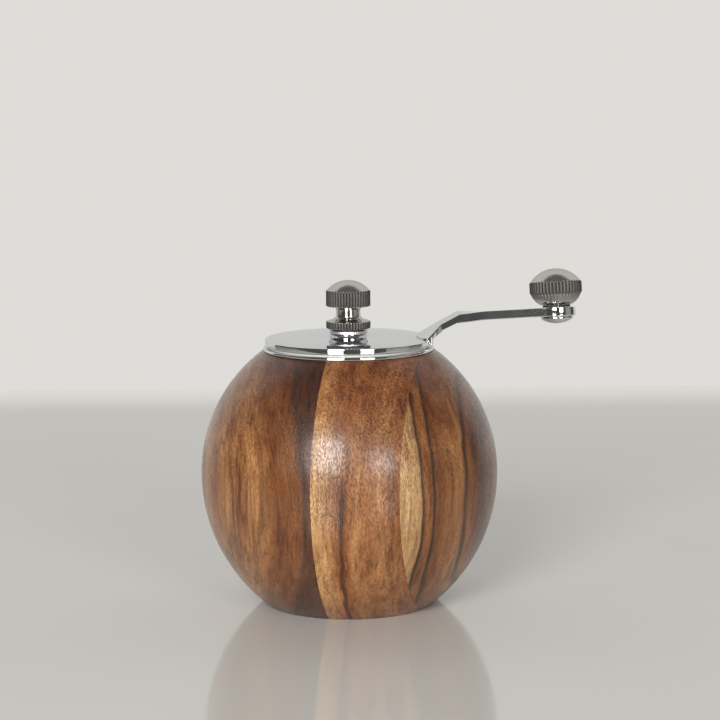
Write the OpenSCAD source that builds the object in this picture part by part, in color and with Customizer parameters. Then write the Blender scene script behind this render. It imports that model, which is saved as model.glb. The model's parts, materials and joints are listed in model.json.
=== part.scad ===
// Hand-crank burr mill: a turned wooden ball, a chromed lid with a crank, and a cone burr in the base.
// Millimetres, +Z up. The origin is on the mill's axis, in the plane it stands on. The crank arm points to +X.

/* [Wooden body] */
// widest radius of the turned body
body_r = 45; // [44:0.5:47]
// height of the widest part above the table
belly_z = 40; // [39:0.5:41]
// height of the flat top of the wood
wood_top = 77.3; // [76.5:0.1:78]
// profile radius above the widest part
shoulder_r = 46; // [46:0.5:48]
// profile radius below the widest part
lower_r = 51; // [50:0.5:53]
// width of one glued board
board_w = 24.6; // [24:0.1:26]
// direction across the glue lines, in degrees from the arm
board_angle = -18.6; // [-30:0.2:-10]
// thickness of a glue line
glue_line = 0.04; // [0.02:0.01:0.08]
// radius of the hopper bored in the wood
hopper_r = 19; // [18.8:0.1:19.2]

/* [Mouth ring and lid] */
// outer radius of the fixed ring
ring_r = 25.8; // [25.6:0.1:26]
// thickness of the fixed ring's flange
ring_t = 1.1; // [1:0.05:1.2]
// gap between the ring and the lid, filled by the glide washer
seam_t = 0.6; // [0.5:0.05:0.7]
// outer radius of the lid plate
plate_r = 25.3; // [25:0.1:25.5]
// thickness of the lid plate
plate_t = 1.9; // [1.8:0.1:2.2]
// running clearance of the turning parts, on the radius
run_gap = 0.08; // [0.05:0.01:0.1]

/* [Crank] */
// distance from the mill's axis to the crank knob
crank_r = 63.5; // [60:0.5:68]
// width of the arm's bar
arm_w = 8.6; // [8:0.2:9.4]
// thickness of the arm's bar
arm_t = 2.6; // [2.3:0.1:2.8]
// height of the arm's bend above the lid
bend_h = 7.15; // [7:0.05:7.6]
// distance from the axis to the arm's bend
bend_x = 33.5; // [33:0.25:35]
// rise of the outer arm, in degrees
arm_rise = 2.2; // [1:0.1:3]
// twist of the arm from its bend to its eye, in degrees
arm_twist = 7; // [0:0.5:9]
// half width of the arm's foot on the rim
foot_w = 8.7; // [8:0.1:9]
// radius of the crank knob
crank_knob_r = 7.95; // [7.6:0.05:8.4]
// number of grooves round each knob
knurls = 44; // [36:2:52]

/* [Grind adjustment] */
// radius of the adjusting knob
knob_r = 6.7; // [6.5:0.1:7]
// side of the square drive shaft
shaft_w = 5; // [4.8:0.1:5]
// radius of the shaft's threaded end
thread_r = 2.4; // [2.2:0.05:2.45]

/* [Burrs] */
// radius of the outer burr's body
burr_r = 15.2; // [14.9:0.1:15.2]
// radius of the outer burr's cone at its top
cone_top_r = 8.4; // [8.2:0.1:8.6]
// growth of the cone's radius per millimetre downwards
cone_slope = 0.31; // [0.29:0.01:0.32]
// gap between the two cones at rest, on the radius
grind_gap = 0.25; // [0.2:0.05:0.35]
// teeth of the outer burr
outer_teeth = 24; // [18:2:28]
// teeth of the inner burr
inner_teeth = 16; // [12:2:20]

/* [Hidden] */
$fn = 96;
tiny = 0.02;
sit = 0.02;
big = 120;

// levels from the table up
recess_z = 5;
recess_r = 22;
lower_bore_r = 17.5;
floor_z = 24;
ring_top = wood_top + ring_t;
plate_z = ring_top + seam_t;
lid_top = plate_z + plate_t;
flange_z = 2.6;
flange_r = recess_r - 0.1;
barrel_r = lower_bore_r - 0.05;

// fixings
ring_screw_r = 22.3;
base_screw_r = 19.8;
bridge_screw_r = 16.1;
rivet_x = 23;
rivet_y = 3.2;

// sleeve, skirt and hub
sleeve_or = hopper_r - 0.05;
sleeve_ir = 17.75;
sleeve_z = 66;
skirt_r = sleeve_ir - run_gap;
skirt_ir = skirt_r - 1.2;
skirt_z = 75.5;
hub_r = 6.1;
hub_top = lid_top + 2.5;
spigot_r = 4.5;
spigot_z = plate_z - 2.8;
square_hole = shaft_w + 0.1;

// adjusting knob, from its underside up
knob_z = hub_top + 0.45;
flange_top = knob_z + 2.35;
head_z = flange_top + 4.4;
dome_z = head_z + 4.9;
dome_h = 3;
neck_r = 3.7;
insert_r = 3.15;

// crank arm
bend_z = lid_top + bend_h;
eye_x = (crank_r - bend_x) / cos(arm_rise);
eye_r = 5.7;
pin_r = 2.3;
lip_r = plate_r + 0.55;

// burrs, bridge and spring
outer_z = 4.2;
outer_top = 16.4;
inner_z = 6.6;
inner_top = 18.6;
bridge_z = 30;
washer_z = 26.5;
shaft_corner_r = shaft_w * 0.69;
bush_r = shaft_corner_r + run_gap;
spring_r = 4.6;
wire_r = 0.45;
spring_turns = 5;

// ---- shared shapes ----

// a tube or ring standing on height z
module tube(outer, inner, z, h) {
    translate([0, 0, z])
        difference() {
            cylinder(r = outer, h = h);
            translate([0, 0, -1]) cylinder(r = inner, h = h + 2);
        }
}

// copies at a radius, turned with the boards so that they miss the glue lines
module round_boards(radius, count) {
    for (i = [0 : count - 1])
        rotate([0, 0, board_angle + 45 + i * 360 / count])
            translate([radius, 0, 0]) children();
}

// countersunk screw with its head's flat face at z = 0 and its shank along +Z
module countersunk(head_r, shank_r, head_h, length) {
    cylinder(r1 = head_r, r2 = shank_r, h = head_h);
    cylinder(r = shank_r, h = length - 1.5);
    translate([0, 0, length - 1.5]) cylinder(r1 = shank_r, r2 = 0.3, h = 1.5);
}

// the cross driven into a screw head
module cross_slot(reach, depth) {
    for (a = [0, 90])
        rotate([0, 0, a])
            translate([-reach, -0.25, -0.01]) cube([2 * reach, 0.5, depth]);
}

// outline of a straight-knurled bar
module knurl_outline(radius, depth) {
    half = 180 / knurls;
    polygon([for (i = [0 : 2 * knurls - 1])
        let (r = i % 2 == 0 ? radius : radius - depth)
        [r * cos(i * half), r * sin(i * half)]]);
}

// frame of the outer arm: origin on its top face above the bend, x along the arm
module on_arm() {
    translate([bend_x, 0, bend_z])
        rotate([0, -arm_rise, 0]) rotate([-arm_twist, 0, 0]) children();
}

// frame of the crank knob: origin on the arm's top face at the eye
module on_eye() {
    on_arm() translate([eye_x, 0, 0]) children();
}

// ---- wooden body ----

module body_outline() {
    difference() {
        intersection() {
            union() {
                translate([body_r - shoulder_r, belly_z]) circle(r = shoulder_r, $fn = 180);
                intersection() {
                    translate([body_r - lower_r, belly_z]) circle(r = lower_r, $fn = 180);
                    square([big, belly_z]);
                }
            }
            square([big, wood_top]);
        }
        translate([-1, -1]) square([lower_bore_r + 1, big]);
        translate([-1, floor_z]) square([hopper_r + 1, big]);
        translate([-1, -1]) square([recess_r + 1, recess_z + 1]);
        translate([base_edge_r(), 0]) rotate(45) square([4, 0.9], center = true);
    }
}

module turned_body() {
    difference() {
        rotate_extrude($fn = 180) body_outline();
        round_boards(ring_screw_r, 4)
            translate([0, 0, wood_top - 11]) cylinder(r = 1.15, h = 12, $fn = 24);
        round_boards(base_screw_r, 4)
            translate([0, 0, recess_z - 1]) cylinder(r = 1.2, h = 12.2, $fn = 24);
    }
}

function base_edge_r() = sqrt(lower_r * lower_r - belly_z * belly_z) + body_r - lower_r;

// one board of the glued block, between two distances across the glue lines
module wood_board(from, to) {
    intersection() {
        turned_body();
        rotate([0, 0, board_angle])
            translate([from + glue_line / 2, -big / 2, -1])
                cube([to - from - glue_line, big, big]);
    }
}

module wood_board_1() {
    color([0.42, 0.25, 0.13]) wood_board(-60, -board_w);
}

module wood_board_2() {
    color([0.45, 0.27, 0.14]) wood_board(-board_w, 0);
}

module wood_board_3() {
    color([0.62, 0.41, 0.22]) wood_board(0, board_w);
}

module wood_board_4() {
    color([0.5, 0.31, 0.16]) wood_board(board_w, 60);
}

// ---- fixed metal at the mouth ----

module mouth_ring() {
    bevel = 0.3;
    color([0.85, 0.86, 0.88])
        difference() {
            union() {
                rotate_extrude()
                    polygon([[sleeve_ir, wood_top + sit], [ring_r - bevel, wood_top + sit],
                        [ring_r, wood_top + sit + bevel], [ring_r, ring_top - bevel],
                        [ring_r - bevel, ring_top], [sleeve_ir, ring_top]]);
                tube(sleeve_or, sleeve_ir, sleeve_z, wood_top - sleeve_z + 0.5);
            }
            round_boards(ring_screw_r, 4)
                translate([0, 0, ring_top + 0.01]) mirror([0, 0, 1])
                    countersunk(2.2, 1.15, 0.95, 4);
        }
}

module ring_screws() {
    color([0.7, 0.71, 0.73])
        round_boards(ring_screw_r, 4)
            translate([0, 0, ring_top - 0.05]) mirror([0, 0, 1])
                difference() {
                    countersunk(2.05, 1.1, 0.9, 10.5, $fn = 32);
                    cross_slot(1.1, 0.5);
                }
}

module glide_washer() {
    color([0.93, 0.93, 0.9])
        tube(24.2, 20, ring_top + sit, seam_t - 0.1);
}

// ---- grinding mechanism fixed in the base ----

module burr_housing() {
    color([0.12, 0.12, 0.13])
        difference() {
            union() {
                translate([0, 0, flange_z]) cylinder(r = flange_r, h = recess_z - sit - flange_z);
                translate([0, 0, flange_z]) cylinder(r = barrel_r, h = floor_z - flange_z);
            }
            translate([0, 0, flange_z - 1]) cylinder(r = burr_r + 0.1, h = outer_top + 0.05 - flange_z + 1);
            translate([0, 0, outer_top]) cylinder(r = 9.2, h = 1.2);
            translate([0, 0, outer_top + 1])
                cylinder(r1 = 9.2, r2 = 14.8, h = floor_z - outer_top - 1 + tiny);
            translate([0, 0, 3.2]) cylinder(r = burr_r + 0.9, h = 0.95);
            round_boards(base_screw_r, 4)
                translate([0, 0, flange_z - 0.01]) countersunk(2.3, 1.2, 1.1, 4, $fn = 32);
            for (i = [0 : 2])
                rotate([0, 0, 60 + 120 * i])
                    translate([bridge_screw_r, 0, floor_z - 6]) cylinder(r = 0.85, h = 7, $fn = 24);
        }
}

module housing_screws() {
    color([0.7, 0.71, 0.73])
        round_boards(base_screw_r, 4)
            translate([0, 0, flange_z + 0.05])
                difference() {
                    countersunk(2.15, 1.15, 1.05, 13, $fn = 32);
                    cross_slot(1.15, 0.6);
                }
}

// radius of the outer burr's cone at a height
function cone_r(z) = cone_top_r + (outer_top - z) * cone_slope;

module outer_burr() {
    low = outer_z;
    lean = atan(cone_slope);
    color([0.92, 0.91, 0.87])
        difference() {
            translate([0, 0, low]) cylinder(r = burr_r, h = outer_top - low);
            translate([0, 0, low - 1])
                cylinder(r1 = cone_r(low - 1), r2 = cone_r(outer_top + 1), h = outer_top - low + 2);
            for (i = [0 : outer_teeth - 1])
                rotate([0, 0, i * 360 / outer_teeth])
                    translate([cone_r((low + outer_top) / 2), 0, (low + outer_top) / 2])
                        rotate([0, -lean, 0]) rotate([14, 0, 0]) rotate([0, 0, 45])
                            cube([1.1, 1.1, 18], center = true);
        }
}

module burr_clip() {
    color([0.6, 0.61, 0.63])
        difference() {
            tube(burr_r + 0.8, burr_r - 1.6, 3.24, 0.85);
            translate([burr_r - 3, -2.5, 2]) cube([6, 5, 4]);
            for (s = [-1, 1])
                translate([burr_r - 0.75, s * 3.6, 2]) cylinder(r = 0.45, h = 4, $fn = 24);
        }
}

module shaft_bridge() {
    arm_h = 2.5;
    color([0.14, 0.14, 0.15])
        difference() {
            union() {
                tube(17.3, 14.9, floor_z + sit, 1.8);
                translate([0, 0, bridge_z - 1.5]) cylinder(r = 6.2, h = arm_h + 1.5);
                intersection() {
                    tube(17.3, 4, floor_z + 1, bridge_z + arm_h - floor_z - 1);
                    for (i = [0 : 2])
                        rotate([0, 0, 120 * i])
                            union() {
                                translate([4, -1.6, bridge_z]) cube([14, 3.2, arm_h]);
                                translate([14.9, -1.9, floor_z]) cube([4, 3.8, bridge_z - floor_z + 1]);
                            }
                }
            }
            translate([0, 0, bridge_z - 3]) cylinder(r = 4.75, h = 8);
            for (i = [0 : 2])
                rotate([0, 0, 60 + 120 * i])
                    translate([bridge_screw_r, 0, floor_z - 1]) cylinder(r = 0.95, h = 4, $fn = 24);
        }
}

module bridge_screws() {
    color([0.7, 0.71, 0.73])
        for (i = [0 : 2])
            rotate([0, 0, 60 + 120 * i])
                translate([bridge_screw_r, 0, 0])
                    difference() {
                        union() {
                            translate([0, 0, floor_z - 5]) cylinder(r = 0.8, h = 7, $fn = 24);
                            translate([0, 0, floor_z + 1.85]) cylinder(r = 1.15, h = 1, $fn = 24);
                        }
                        translate([0, 0, floor_z + 2.9]) mirror([0, 0, 1]) cross_slot(0.7, 0.5);
                    }
}

module bridge_bush() {
    color([0.72, 0.52, 0.26])
        union() {
            tube(4.7, bush_r, bridge_z - 1.6, 4.3);
            tube(6, bush_r, bridge_z - 2.4, 0.85);
        }
}

// ---- spring and its washer, which turn with the shaft ----

module thrust_washer() {
    color([0.75, 0.76, 0.78])
        difference() {
            translate([0, 0, washer_z]) cylinder(r = 6, h = 1);
            translate([0, 0, washer_z + 0.5]) cube([square_hole, square_hole, 3], center = true);
        }
}

module burr_spring() {
    around = 10;
    per_turn = 24;
    low = inner_top + tiny + wire_r;
    high = washer_z - tiny - wire_r;
    steps = spring_turns * per_turn;
    // closed end coils: the pitch is small in the first and the last turn
    function rise(t) = t < 0.2 ? t * 0.55 : t > 0.8 ? 1 - (1 - t) * 0.55 : 0.11 + (t - 0.2) * 1.3;
    function centre(i) = [spring_r, 360 * i / per_turn, low + (high - low) * rise(i / steps)];
    points = [for (i = [0 : steps]) for (k = [0 : around - 1])
        let (c = centre(i), a = 360 * k / around, r = c[0] + wire_r * cos(a))
        [r * cos(c[1]), r * sin(c[1]), c[2] + wire_r * sin(a)]];
    sides = [for (i = [0 : steps - 1]) for (k = [0 : around - 1])
        let (n = (k + 1) % around)
        [i * around + k, i * around + n, (i + 1) * around + n, (i + 1) * around + k]];
    first = [for (k = [0 : around - 1]) around - 1 - k];
    last = [for (k = [0 : around - 1]) steps * around + k];
    color([0.66, 0.67, 0.69])
        polyhedron(points = points, faces = concat(sides, [first, last]), convexity = 8);
}

// ---- shaft and inner burr ----

module drive_shaft() {
    square_top = hub_top - 0.2;
    thread_top = dome_z - 1;
    color([0.72, 0.73, 0.75])
        union() {
            intersection() {
                translate([-shaft_w / 2, -shaft_w / 2, inner_z + 0.4])
                    cube([shaft_w, shaft_w, square_top - inner_z - 0.4]);
                translate([0, 0, inner_z]) cylinder(r = shaft_corner_r, h = big);
            }
            translate([0, 0, square_top - 1]) cylinder(r = thread_r, h = thread_top - square_top + 0.5);
            translate([0, 0, thread_top - 0.5]) cylinder(r1 = thread_r, r2 = thread_r - 0.4, h = 0.5);
            translate([0, 0, 3.3]) cylinder(r = 1.95, h = inner_z - 2);
        }
}

module inner_burr() {
    lean = atan(cone_slope);
    middle = (inner_z + outer_top) / 2;
    color([0.92, 0.91, 0.87])
        difference() {
            translate([0, 0, inner_z])
                cylinder(r1 = cone_r(inner_z) - grind_gap, r2 = cone_r(inner_top) - grind_gap,
                    h = inner_top - inner_z);
            for (i = [0 : inner_teeth - 1])
                rotate([0, 0, (i + 0.5) * 360 / inner_teeth])
                    translate([cone_r(middle) - grind_gap, 0, middle])
                        rotate([0, -lean, 0]) rotate([-16, 0, 0]) rotate([0, 0, 45])
                            cube([1.3, 1.3, 18], center = true);
            for (i = [0 : 3])
                rotate([0, 0, i * 90])
                    translate([cone_r(inner_top), 0, inner_top])
                        rotate([0, 35, 0]) cube([3, 2.4, 6], center = true);
            translate([-square_hole / 2, -square_hole / 2, inner_z + 0.35])
                cube([square_hole, square_hole, 20]);
            translate([0, 0, inner_z - 1]) cylinder(r = 2.1, h = 3);
        }
}

module burr_washer() {
    color([0.75, 0.76, 0.78])
        tube(5.5, 2.05, inner_z - 0.75, 0.7);
}

module shaft_nut() {
    nut_z = 2.9;
    corner_r = 4.04;
    low_r = 3.55;
    color([0.75, 0.76, 0.78])
        difference() {
            intersection() {
                translate([0, 0, nut_z]) cylinder(r = corner_r, h = 2.9, $fn = 6);
                translate([0, 0, nut_z]) cylinder(r1 = low_r, r2 = low_r + 2.9, h = 2.9);
            }
            translate([0, 0, nut_z - 1]) cylinder(r = 2, h = 5);
        }
}

// ---- lid and crank arm ----

module crank_plate() {
    edge = 0.45;
    color([0.85, 0.86, 0.88])
        difference() {
            union() {
                rotate_extrude($fn = 128)
                    union() {
                        translate([0, plate_z]) square([plate_r - edge, plate_t]);
                        translate([0, plate_z + edge]) square([plate_r, plate_t - 2 * edge]);
                        for (z = [plate_z + edge, lid_top - edge])
                            translate([plate_r - edge, z]) circle(r = edge, $fn = 32);
                    }
                tube(skirt_r, skirt_ir, skirt_z, plate_z - skirt_z + 0.5);
            }
            translate([0, 0, plate_z - 1]) cylinder(r = spigot_r + 0.05, h = plate_t + 2);
            for (s = [-1, 1])
                translate([rivet_x, s * rivet_y, plate_z - 0.01])
                    union() {
                        cylinder(r1 = 1.75, r2 = 0.95, h = 0.8, $fn = 32);
                        cylinder(r = 0.95, h = 3, $fn = 32);
                    }
        }
}

module arm_rivets() {
    color([0.75, 0.76, 0.78])
        for (s = [-1, 1])
            translate([rivet_x, s * rivet_y, plate_z + 0.03])
                union() {
                    cylinder(r1 = 1.68, r2 = 0.9, h = 0.78, $fn = 32);
                    cylinder(r = 0.9, h = plate_t + 1, $fn = 32);
                }
}

// side view of the bar, from the foot over the bend to the eye
module bar_outline() {
    foot_x = 27.4;
    slope = (bend_z - lid_top - 0.4) / (bend_x - 20.6);
    under_x = bend_x - 0.9;
    end_x = bend_x + 0.3;
    rise = tan(arm_rise) * 0.3;
    polygon([[foot_x, lid_top + 2.1], [foot_x, lid_top + 0.4 + slope * (foot_x - 20.6)],
        [bend_x, bend_z], [end_x, bend_z + rise], [end_x, bend_z - arm_t + rise],
        [under_x, bend_z - arm_t]]);
}

// corners of the outer bar's section at x, turned by an angle about the arm; just inside its skin
function bar_section(x, turn) = [for (c = [[-1, 0], [1, 0], [1, -1], [-1, -1]])
    let (y = c[0] * (arm_w / 2 - 0.03), z = c[1] * (arm_t - 0.06) - 0.03)
    [x, y * cos(turn) + z * sin(turn), z * cos(turn) - y * sin(turn)]];

// outer part of the bar, twisting evenly from the bend to the eye
module twisted_bar() {
    translate([bend_x, 0, bend_z]) rotate([0, -arm_rise, 0])
        polyhedron(
            points = concat(bar_section(0.05, 0), bar_section(eye_x - 3, arm_twist)),
            faces = [[0, 3, 2], [0, 2, 1], [4, 5, 6], [4, 6, 7], [0, 1, 5], [0, 5, 4],
                [1, 2, 6], [1, 6, 5], [2, 3, 7], [2, 7, 6], [3, 0, 4], [3, 4, 7]]);
}

// plan of the foot: a round toe on the lid, as wide as the foot, ending at the lip
module foot_plan(edge) {
    intersection() {
        translate([36.6, 0]) circle(r = 16, $fn = 72);
        circle(r = edge, $fn = 96);
        translate([15, -foot_w]) square([14, 2 * foot_w]);
    }
}

module crank_arm() {
    slope = (bend_z - lid_top - 0.4) / (bend_x - 20.6);
    joint_x = 27.6;
    joint_top = lid_top + 0.4 + slope * (joint_x - 20.6);
    color([0.85, 0.86, 0.88])
        difference() {
            union() {
                rotate([90, 0, 0]) linear_extrude(height = arm_w, center = true) bar_outline();
                twisted_bar();
                hull() {
                    translate([0, 0, lid_top + sit]) linear_extrude(height = 0.4) foot_plan(lip_r);
                    translate([joint_x, -arm_w / 2, joint_top - 2])
                        cube([0.4, arm_w, 2]);
                }
                intersection() {
                    translate([0, 0, plate_z + 0.4]) linear_extrude(height = plate_t + 0.3) foot_plan(lip_r);
                    tube(lip_r, plate_r + 0.03, plate_z, plate_t + 2);
                }
                on_eye() translate([0, 0, -arm_t]) cylinder(r = eye_r, h = arm_t);
            }
            translate([0, 0, plate_z - 2]) cylinder(r = plate_r + 0.03, h = plate_t + 2 + sit);
            for (s = [-1, 1])
                translate([29.6, s * (arm_w / 2 + 4.4), lid_top - 4]) cylinder(r = 4.4, h = 12, $fn = 64);
            on_eye() translate([0, 0, -arm_t - 1]) cylinder(r = pin_r + run_gap, h = arm_t + 2);
            for (s = [-1, 1])
                translate([rivet_x, s * rivet_y, lid_top - 1]) cylinder(r = 0.95, h = 2.05, $fn = 32);
        }
}

module hub_collar() {
    color([0.85, 0.86, 0.88])
        difference() {
            union() {
                rotate_extrude()
                    polygon([[0, lid_top + sit], [hub_r, lid_top + sit], [hub_r, lid_top + 0.3],
                        [hub_r - 0.8, lid_top + 0.55], [hub_r - 1.35, lid_top + 0.85],
                        [hub_r - 1.65, lid_top + 1.2], [hub_r - 1.7, lid_top + 1.4],
                        [hub_r - 0.35, lid_top + 1.6], [hub_r - 0.35, hub_top - 0.15],
                        [hub_r - 0.5, hub_top], [0, hub_top]]);
                translate([0, 0, spigot_z]) cylinder(r = spigot_r, h = lid_top - spigot_z + 0.5);
            }
            translate([-square_hole / 2, -square_hole / 2, spigot_z - 1])
                cube([square_hole, square_hole, 20]);
        }
}

module hub_washer() {
    color([0.75, 0.76, 0.78])
        tube(8.5, spigot_r + 0.05, plate_z - 0.8, 0.77);
}

module hub_nut() {
    color([0.75, 0.76, 0.78])
        difference() {
            translate([0, 0, plate_z - 2.6]) cylinder(r = 7, h = 1.75, $fn = 6);
            translate([0, 0, plate_z - 4]) cylinder(r = spigot_r + 0.05, h = 5);
        }
}

// ---- adjusting knob ----

// shallow dome on a short straight foot, its very top just flat, standing at height z
module cap(base_r, h, z) {
    foot = 0.08;
    rise = h - foot;
    r = (base_r * base_r + rise * rise) / (2 * rise);
    rotate_extrude()
        intersection() {
            translate([0, z + h - r]) circle(r = r, $fn = 128);
            translate([0, z - 0.2]) square([base_r, h + 0.195]);
        }
}

// straight-knurled band
module knurled_band(radius, depth, z, h) {
    translate([0, 0, z]) linear_extrude(height = h) knurl_outline(radius, depth);
}

// neck between flange and head: a short cone, a straight waist and a small flare
module neck_outline() {
    polygon([[0, flange_top - 0.3], [neck_r + 2, flange_top - 0.3], [neck_r + 2, flange_top + 0.05],
        [neck_r + 1.15, flange_top + 0.4], [neck_r + 0.55, flange_top + 0.85],
        [neck_r + 0.15, flange_top + 1.35], [neck_r, flange_top + 1.8], [neck_r, head_z - 1],
        [neck_r + 0.2, head_z - 0.5], [neck_r + 0.75, head_z - 0.05], [neck_r + 0.75, head_z + 0.3],
        [0, head_z + 0.3]]);
}

module adjusting_knob() {
    depth = 0.35;
    color([0.55, 0.54, 0.52])
        difference() {
            union() {
                knurled_band(knob_r, depth, head_z, dome_z - head_z);
                cap(knob_r - depth - 0.05, dome_h, dome_z);
                rotate_extrude() neck_outline();
                knurled_band(knob_r, depth, knob_z, flange_top - knob_z);
            }
            translate([0, 0, knob_z - 1]) cylinder(r = insert_r + 0.02, h = dome_z + 1 - knob_z + 0.2);
        }
}

module knob_insert() {
    color([0.78, 0.6, 0.3])
        tube(insert_r, thread_r + 0.05, knob_z + 0.2, dome_z - knob_z - 0.2);
}

module adjuster_washer() {
    color([0.93, 0.93, 0.9])
        tube(4.8, 3.7, hub_top + 0.05, 0.35);
}

// ---- crank knob ----

module crank_knob() {
    bottom = 0.8;
    band_z = 4.2;
    band_top = 7.9;
    top = 11.9;
    depth = 0.4;
    root = crank_knob_r - depth - 0.05;
    under_r = 5.97;
    color([0.55, 0.55, 0.54])
        on_eye()
            difference() {
                union() {
                    knurled_band(crank_knob_r, depth, band_z, band_top - band_z);
                    cap(root, top - band_top, band_top);
                    rotate_extrude()
                        union() {
                            intersection() {
                                translate([root - 5.64, band_z + 1.94]) circle(r = under_r, $fn = 128);
                                translate([0, bottom]) square([root, band_z - bottom + 0.3]);
                            }
                            translate([0, bottom]) square([3, 2]);
                        }
                }
                translate([0, 0, bottom - 1]) cylinder(r = 2.02, h = 8.2);
            }
}

module knob_pin() {
    head_r = 4.95;
    head = 0.65;
    cap = 1.55;
    cap_r = (head_r * head_r + cap * cap) / (2 * cap);
    low = -arm_t - 0.05;
    color([0.8, 0.81, 0.82])
        on_eye()
            union() {
                translate([0, 0, low - head]) cylinder(r = head_r, h = head);
                translate([0, 0, low - head])
                    rotate_extrude()
                        intersection() {
                            translate([0, cap_r - cap]) circle(r = cap_r, $fn = 128);
                            translate([0, -cap - 1]) square([head_r, cap + 1 + tiny]);
                        }
                translate([0, 0, low - 0.2]) cylinder(r = pin_r, h = arm_t + 0.95);
                cylinder(r = 2, h = 7.5);
            }
}

module knob_washer() {
    color([0.2, 0.2, 0.21])
        on_eye() tube(4.2, pin_r + 0.05, 0.06, 0.7);
}

wood_board_1();
wood_board_2();
wood_board_3();
wood_board_4();
mouth_ring();
ring_screws();
glide_washer();
burr_housing();
housing_screws();
outer_burr();
burr_clip();
shaft_bridge();
bridge_screws();
bridge_bush();
thrust_washer();
burr_spring();
drive_shaft();
inner_burr();
burr_washer();
shaft_nut();
crank_plate();
crank_arm();
arm_rivets();
hub_collar();
hub_washer();
hub_nut();
adjusting_knob();
knob_insert();
adjuster_washer();
crank_knob();
knob_pin();
knob_washer();
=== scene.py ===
"""Looks of a ball-shaped hand-crank burr mill: turned wood, chromed lid and crank, knurled knobs.

Every object is in metres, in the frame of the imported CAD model: +Z up, the crank arm along +X, the
mill's axis on the Z axis and its base at z = 0. Lengths are written in millimetres, times MM.
"""

import json
import math

import bmesh
import bpy
from mathutils import Matrix, Vector

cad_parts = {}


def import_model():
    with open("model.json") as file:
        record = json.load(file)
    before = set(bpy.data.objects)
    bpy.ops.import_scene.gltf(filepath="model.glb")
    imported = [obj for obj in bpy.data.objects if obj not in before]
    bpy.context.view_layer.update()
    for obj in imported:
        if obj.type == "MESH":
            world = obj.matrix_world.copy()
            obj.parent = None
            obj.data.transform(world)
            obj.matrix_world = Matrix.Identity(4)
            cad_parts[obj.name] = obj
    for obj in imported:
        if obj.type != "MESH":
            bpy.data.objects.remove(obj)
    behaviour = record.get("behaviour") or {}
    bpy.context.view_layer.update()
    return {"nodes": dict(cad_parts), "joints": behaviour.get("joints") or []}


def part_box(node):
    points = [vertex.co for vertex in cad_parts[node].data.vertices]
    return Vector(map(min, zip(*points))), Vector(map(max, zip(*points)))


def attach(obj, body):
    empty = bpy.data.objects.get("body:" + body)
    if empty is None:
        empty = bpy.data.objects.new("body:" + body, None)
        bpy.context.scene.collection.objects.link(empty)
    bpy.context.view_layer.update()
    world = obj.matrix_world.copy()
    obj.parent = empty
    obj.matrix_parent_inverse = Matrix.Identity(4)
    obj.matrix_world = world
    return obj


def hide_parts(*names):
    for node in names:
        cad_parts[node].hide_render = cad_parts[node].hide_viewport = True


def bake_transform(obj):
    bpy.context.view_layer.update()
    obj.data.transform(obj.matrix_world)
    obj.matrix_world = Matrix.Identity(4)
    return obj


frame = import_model()

MM = 0.001


# ---------------------------------------------------------------- sizes, from the frame

def top_of(node):
    """Height of a node's top."""
    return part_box(node)[1].z / MM


def bottom_of(node):
    """Height of a node's underside."""
    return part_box(node)[0].z / MM


def radius_of(node):
    """Widest radius of a part that is turned about the mill's axis."""
    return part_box(node)[1].y / MM


WOOD_TOP = top_of("wood_board_2")
BELLY_R = radius_of("wood_board_2")
HOPPER_R = 19.0
FLOOR_Z = bottom_of("shaft_bridge")
LOWER_BORE_R = 17.5
RECESS_R = radius_of("burr_housing") + 0.1
RECESS_Z = 5.0
BELLY_Z = 40.0
SHOULDER_R = 46.0
LOWER_R = 51.0

BOARD_W = 24.6
BOARD_ANGLE = math.radians(-18.6)
GLUE_LINE = 0.04

RING_R = radius_of("mouth_ring")
RING_TOP = top_of("mouth_ring")
SLEEVE_Z = bottom_of("mouth_ring")
SLEEVE_OUT = 18.95
SLEEVE_IN = 17.75

PLATE_R = radius_of("crank_plate")
LID_TOP = top_of("crank_plate")
PLATE_T = 1.9
PLATE_Z = LID_TOP - PLATE_T
SKIRT_Z = bottom_of("crank_plate")

HUB_R = radius_of("hub_collar")
HUB_TOP = top_of("hub_collar")
SHAFT_CORNER = 3.5

KNOB_R = radius_of("adjusting_knob")
KNOB_Z = bottom_of("adjusting_knob")
KNOB_TOP = top_of("adjusting_knob")
KNURLS = 44

ARM_T = 2.6
ARM_W = 8.6
BEND_X = 33.5
BEND_Z = LID_TOP + 7.15
EYE_R = 5.7
EYE_BORE = 2.38
CRANK_KNOB_R = 7.95


def crank_knob_frame():
    """Frame of the crank knob: origin on the arm's top face, z along the knob's pin."""
    joint = next(j for j in frame["joints"] if j["name"] == "crank_knob_spin")
    turn = Vector((0, 0, 1)).rotation_difference(Vector(joint["axis"]))
    return Matrix.Translation(Vector(joint["pos_m"])) @ turn.to_matrix().to_4x4()


EYE = crank_knob_frame()


# ---------------------------------------------------------------- turned shapes

def arc(centre_r, centre_z, radius, start, end, steps):
    """Points of an arc in the (r, z) plane; angles in degrees from +r towards +z."""
    points = []
    for i in range(steps + 1):
        a = math.radians(start + (end - start) * i / steps)
        points.append((centre_r + radius * math.cos(a), centre_z + radius * math.sin(a)))
    return points


def dome(rim_r, rim_z, top, steps):
    """The arc of a round dome, from its rim to its top on the axis."""
    rise = top - rim_z
    radius = (rim_r * rim_r + rise * rise) / (2 * rise)
    opening = math.degrees(math.asin(rim_r / radius))
    return arc(0, top - radius, radius, 90 - opening, 90, steps)


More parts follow.
